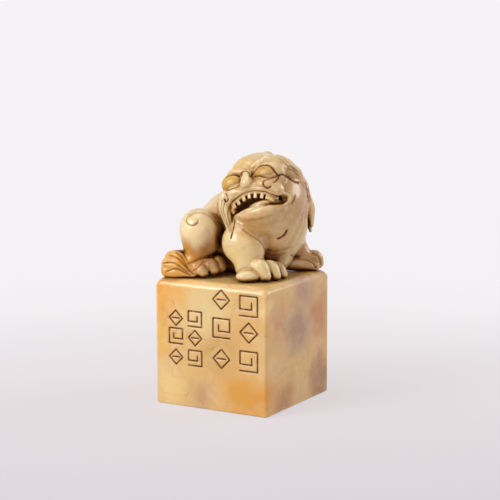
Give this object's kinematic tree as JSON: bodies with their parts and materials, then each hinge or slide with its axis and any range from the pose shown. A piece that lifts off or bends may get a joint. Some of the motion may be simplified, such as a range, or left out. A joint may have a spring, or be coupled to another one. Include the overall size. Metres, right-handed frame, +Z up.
{
  "type": "seal stamp",
  "caption": "Square stone seal stamp with a crouching guardian lion carved as its grip and a fret cut in relief on its printing face.",
  "frame": {"origin": "centre of the printing face, which is the underside of the shaft", "axes": "+Z up through the lion; -Y is the side of the shaft with the carved panel, the way the lion looks; +X is the way its body points"},
  "size_m": [0.035, 0.035, 0.0684],
  "materials": {
    "shaft_stone": "polished soapstone, honey to pink",
    "lion_stone": "polished soapstone, cream with brown in the cuts",
    "tail_stone": "polished soapstone, amber",
    "eye_stone": "polished soapstone, yellow"
  },
  "bodies": {
    "root": {"seal_shaft": "shaft_stone", "torso": "lion_stone", "chest": "lion_stone", "right_foreleg": "lion_stone", "right_forepaw": "lion_stone", "left_foreleg": "lion_stone", "left_forepaw": "lion_stone", "right_haunch": "lion_stone", "right_hindpaw": "lion_stone", "left_haunch": "lion_stone", "left_hindpaw": "lion_stone", "tail": "tail_stone", "head": "lion_stone", "lower_jaw": "lion_stone", "tongue": "lion_stone", "upper_teeth": "lion_stone", "right_eye": "eye_stone", "left_eye": "eye_stone", "right_ear": "lion_stone", "left_ear": "lion_stone", "left_mane_lock": "lion_stone", "right_mane_lock": "lion_stone", "crown_mane": "lion_stone"}
  },
  "joints": []
}
